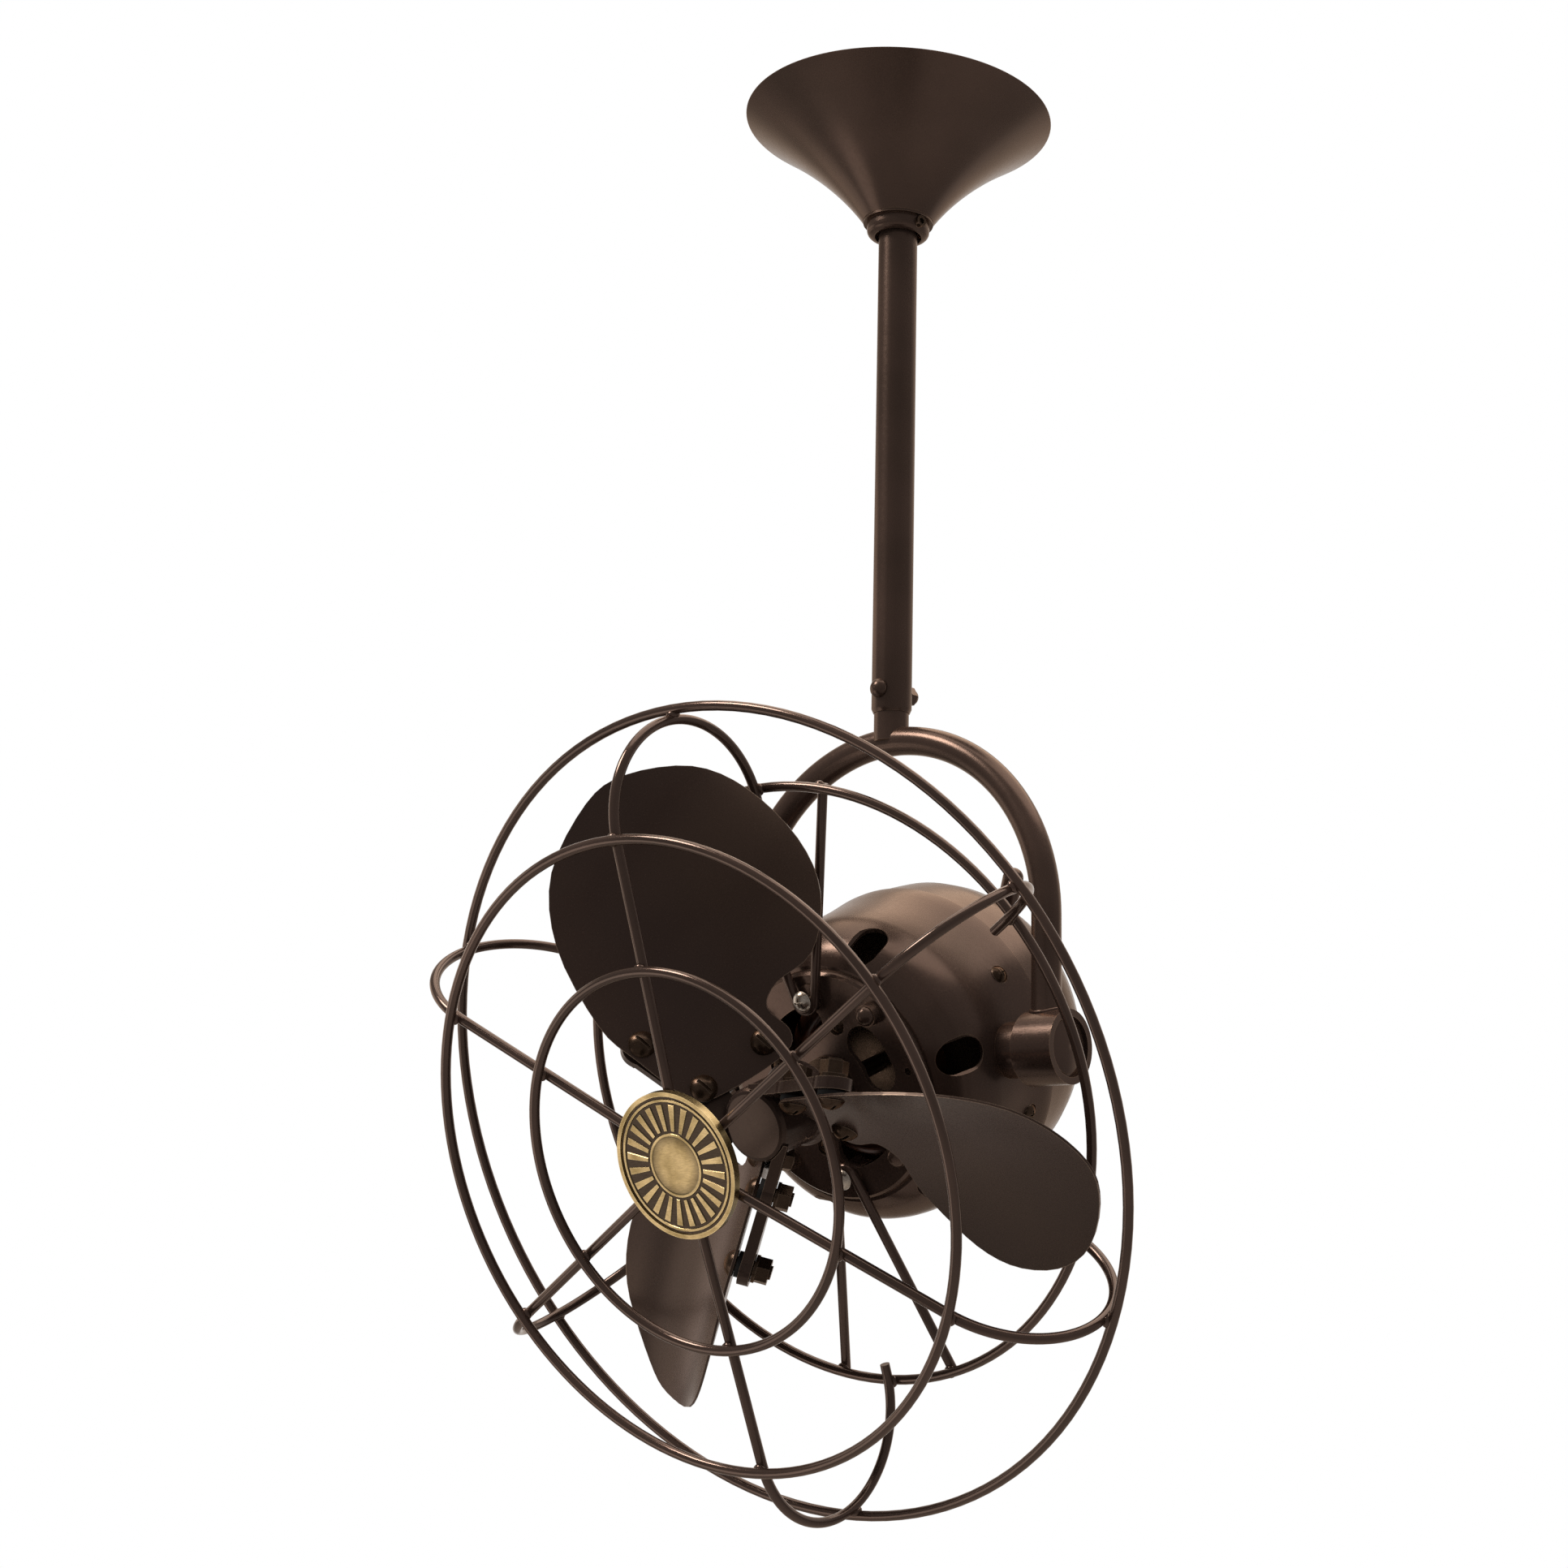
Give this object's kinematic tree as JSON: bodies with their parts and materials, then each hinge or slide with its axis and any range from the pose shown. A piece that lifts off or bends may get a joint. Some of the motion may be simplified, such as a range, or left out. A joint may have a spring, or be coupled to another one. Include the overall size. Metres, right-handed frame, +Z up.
{
  "type": "directional ceiling fan",
  "caption": "Caged fan head tilting in a tubular yoke on a short downrod, with a flared canopy and a round plain badge on the wire guard.",
  "frame": {"origin": "middle of the ceiling face, midway between the ceiling box slots", "axes": "+Z up towards the ceiling along the downrod, +X along the yoke's pivots, the fan looks along -Y"},
  "size_m": [0.3636, 0.2748, 0.6672],
  "materials": {
    "bronze_paint": "semi-gloss oil-rubbed bronze",
    "blade_paint": "satin dark bronze",
    "blackened_steel": "satin blackened",
    "bright_steel": "plain machined",
    "aged_brass": "aged, satin",
    "varnished_copper": "varnished",
    "black_rubber": "matte",
    "green_paint": "gloss",
    "pale_plastic": "matte"
  },
  "bodies": {
    "stand": {"hanger_bracket": "bright_steel", "hanger_bolt": "bright_steel", "hanger_nut": "bright_steel", "ground_screw": "green_paint", "canopy": "bronze_paint", "canopy_collar": "bronze_paint", "collar_screw": "blackened_steel", "downrod": "bronze_paint", "cross_bolt": "bronze_paint", "cross_bolt_nut": "bronze_paint", "yoke": "bronze_paint", "pivot_bushes": "aged_brass", "pivot_caps": "bronze_paint"},
    "head": {"pivot_bolts": "bright_steel", "pivot_washers": "black_rubber", "front_shell": "bronze_paint", "rear_shell": "bronze_paint", "shell_screws": "blackened_steel", "tie_bolts": "bright_steel", "acorn_nuts": "bronze_paint", "face_screws": "blackened_steel", "stator_core": "blackened_steel", "windings": "varnished_copper", "front_bearing": "bright_steel", "rear_bearing": "bright_steel", "bearing_retainer": "blackened_steel", "capacitor": "pale_plastic", "guard_main_ring": "bronze_paint", "guard_outer_ring": "bronze_paint", "guard_inner_ring": "bronze_paint", "guard_rear_ring": "bronze_paint", "guard_spoke_1": "bronze_paint", "guard_spoke_2": "bronze_paint", "guard_spoke_3": "bronze_paint", "guard_spoke_4": "bronze_paint", "guard_spoke_5": "bronze_paint", "guard_spoke_6": "bronze_paint", "guard_plate": "bronze_paint", "badge": "aged_brass", "badge_rivet": "bright_steel", "strut_top": "bronze_paint", "strut_bottom": "bronze_paint", "strut_screws": "aged_brass"},
    "rotor": {"shaft": "bright_steel", "rotor_core": "bright_steel", "hub": "blade_paint", "hub_screw": "blackened_steel", "blade_iron_1": "blade_paint", "blade_iron_2": "blade_paint", "blade_iron_3": "blade_paint", "blade_1": "blade_paint", "blade_2": "blade_paint", "blade_3": "blade_paint", "blade_screws": "blackened_steel", "blade_spacers": "black_rubber", "blade_nuts": "blackened_steel"}
  },
  "joints": [
    {"name": "head_tilt", "type": "hinge", "parent": "stand", "child": "head", "pos_m": [0, 0, -0.4657], "axis": [1, 0, 0], "range_deg": [-21, 159]},
    {"name": "blade_spin", "type": "hinge", "parent": "head", "child": "rotor", "pos_m": [0, 0, -0.4657], "axis": [0, -0.9336, -0.3584], "continuous": true}
  ]
}
